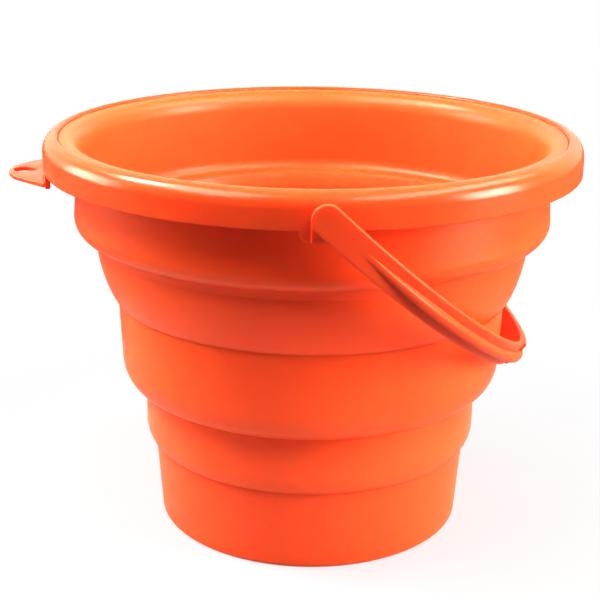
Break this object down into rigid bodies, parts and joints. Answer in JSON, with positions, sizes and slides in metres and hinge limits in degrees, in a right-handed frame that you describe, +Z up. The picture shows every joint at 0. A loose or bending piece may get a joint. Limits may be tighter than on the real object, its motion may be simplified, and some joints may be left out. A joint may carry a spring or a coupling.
{
  "type": "folding sand bucket",
  "caption": "Round bucket with a stepped soft wall that folds flat, a hard rim with a hanging tab and a swinging bail handle; carries sand or water.",
  "frame": {"origin": "centre of the base's flat underside", "axes": "+Z up along the bucket's axis; the handle's pivots lie along Y; the handle hangs on the +X side and the hanging tab points along -X"},
  "size_m": [0.3415, 0.3364, 0.2432],
  "materials": {
    "hard_plastic": "glossy moulded orange",
    "soft_wall": "satin soft-touch orange"
  },
  "bodies": {
    "base": {"base_cup": "hard_plastic"},
    "band_d": {"wall_band_d": "soft_wall"},
    "band_c": {"wall_band_c": "soft_wall"},
    "band_b": {"wall_band_b": "soft_wall"},
    "rim": {"wall_band_a": "soft_wall", "rim_ring": "hard_plastic", "hang_tab": "hard_plastic"},
    "bail": {"handle": "hard_plastic"}
  },
  "joints": [
    {"name": "fold_d", "type": "slide", "parent": "base", "child": "band_d", "axis": [0, 0, -1], "range_m": [0, 0.038]},
    {"name": "fold_c", "type": "slide", "parent": "band_d", "child": "band_c", "axis": [0, 0, -1], "range_m": [0, 0.048]},
    {"name": "fold_b", "type": "slide", "parent": "band_c", "child": "band_b", "axis": [0, 0, -1], "range_m": [0, 0.04]},
    {"name": "fold_a", "type": "slide", "parent": "band_b", "child": "rim", "axis": [0, 0, -1], "range_m": [0, 0.05]},
    {"name": "handle_swing", "type": "hinge", "parent": "rim", "child": "bail", "pos_m": [0, 0, 0.2309], "axis": [0, -1, 0], "range_deg": [0, 224]}
  ]
}
